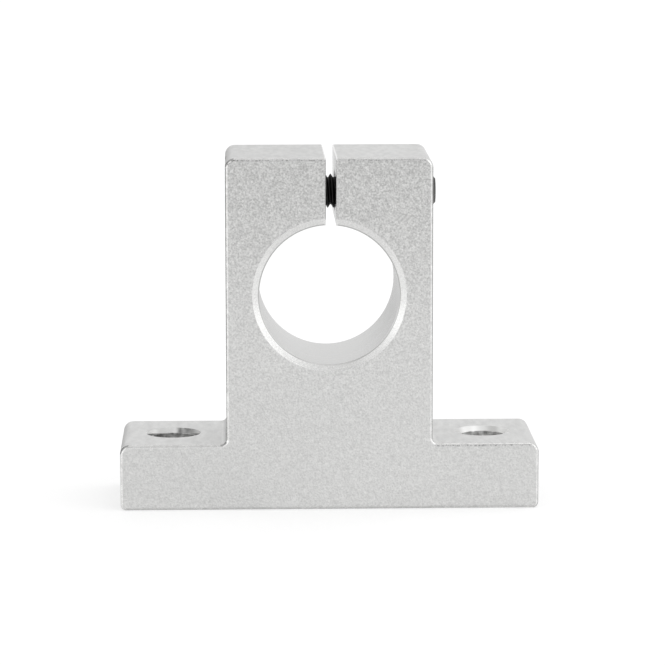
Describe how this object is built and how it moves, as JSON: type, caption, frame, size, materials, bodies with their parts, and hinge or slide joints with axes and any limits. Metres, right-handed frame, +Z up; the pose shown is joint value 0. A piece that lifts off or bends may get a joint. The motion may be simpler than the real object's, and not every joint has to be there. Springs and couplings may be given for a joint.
{
  "type": "shaft support block",
  "caption": "Upright aluminium block that clamps one end of a round shaft in a split bore, closed by a cross screw, on a wide foot that bolts down.",
  "frame": {"origin": "middle of the mounting face, straight below the shaft", "axes": "+X across the foot towards the end of the clamp screw, +Y along the shaft, +Z up from the mounting face"},
  "size_m": [0.06, 0.02, 0.0506],
  "materials": {
    "blasted_aluminium": "fine blasted, matte silver grey",
    "black_steel": "black oxide, slightly oily"
  },
  "bodies": {
    "block": {"support_block": "blasted_aluminium"},
    "screw": {"clamp_screw": "black_steel"}
  },
  "joints": [
    {"name": "clamp_screw_turn", "type": "hinge", "parent": "block", "child": "screw", "pos_m": [0, 0, 0.04485], "axis": [-1, 0, 0], "range_deg": [-90, 270]}
  ]
}
